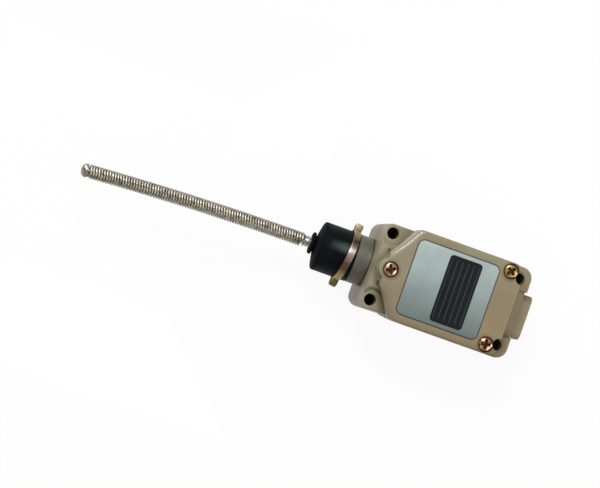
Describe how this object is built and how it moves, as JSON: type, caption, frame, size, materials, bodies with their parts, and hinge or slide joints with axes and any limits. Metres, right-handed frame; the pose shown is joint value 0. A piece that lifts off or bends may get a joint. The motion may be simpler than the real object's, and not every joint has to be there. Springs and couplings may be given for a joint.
{
  "type": "limit switch",
  "caption": "Die-cast limit switch with a coil-spring wobble lever, rubber boot, screwed front cover, through mounting holes and a threaded conduit entry.",
  "frame": {"origin": "centre of the four mounting holes on the back face", "axes": "+Z out of the front cover, -X along the lever towards its tip, +X out of the conduit entry"},
  "size_m": [0.2044, 0.0412, 0.042],
  "materials": {
    "case_paint": "satin beige paint on die-cast metal",
    "plate_metal": "brushed and printed plate",
    "gold_plate": "yellow plated steel",
    "collar_grey": "satin grey",
    "clamp_zinc": "yellow zinc plate",
    "boot_rubber": "moulded matte",
    "seal_rubber": "moulded matte",
    "steel": "turned",
    "spring_steel": "drawn wire",
    "nylon": "natural",
    "phenolic": "moulded",
    "fibre": "pressed",
    "brass": "bright",
    "ground_green": "green chromate"
  },
  "bodies": {
    "case": {"switch_case": "case_paint", "cover": "case_paint", "cover_gasket": "seal_rubber", "cover_screws": "gold_plate", "nameplate": "plate_metal", "head_collar": "collar_grey", "head_seal": "seal_rubber", "retainer_ring": "steel", "retainer_screws": "steel", "rubber_boot": "boot_rubber", "boot_clamp": "clamp_zinc", "plunger_spring": "spring_steel", "contact_base": "phenolic", "contact_lid": "phenolic", "nc_terminals": "brass", "no_terminals": "brass", "terminal_screws": "steel", "terminal_washers": "steel", "terminal_barrier": "fibre", "block_screws": "steel", "ground_screw": "ground_green"},
    "liner": {"ball_liner": "nylon"},
    "lever": {"lever_stem": "steel", "lever_ferrule": "steel", "lever_spring": "spring_steel", "lever_tip": "steel"},
    "plunger": {"plunger": "steel"},
    "pusher": {"contact_pusher": "nylon", "contact_spring": "spring_steel"},
    "bridge": {"contact_bridge": "brass"}
  },
  "joints": [
    {"name": "lever_sway", "type": "hinge", "parent": "case", "child": "liner", "pos_m": [-0.0495, 0, 0.0195], "axis": [0, 0, 1], "range_deg": [-12, 12], "stiffness_Nm_per_rad": 0.8, "deforming": ["rubber_boot"]},
    {"name": "lever_nod", "type": "hinge", "parent": "liner", "child": "lever", "pos_m": [-0.0495, 0, 0.0195], "axis": [0, 1, 0], "range_deg": [-12, 12], "stiffness_Nm_per_rad": 0.8, "deforming": ["rubber_boot"]},
    {"name": "plunger_slide", "type": "slide", "parent": "case", "child": "plunger", "axis": [1, 0, 0], "range_m": [0, 0.002], "stiffness_N_per_m": 800, "deforming": ["plunger_spring"]},
    {"name": "pusher_slide", "type": "slide", "parent": "case", "child": "pusher", "axis": [1, 0, 0], "range_m": [0, 0.002], "deforming": ["contact_spring"]},
    {"name": "bridge_slide", "type": "slide", "parent": "case", "child": "bridge", "axis": [1, 0, 0], "range_m": [0, 0.0009], "deforming": ["contact_spring"]}
  ],
  "couplings": [
    {"joint": "pusher_slide", "follows": "plunger_slide", "ratio": 1},
    {"joint": "bridge_slide", "follows": "plunger_slide", "ratio": 0.45}
  ]
}
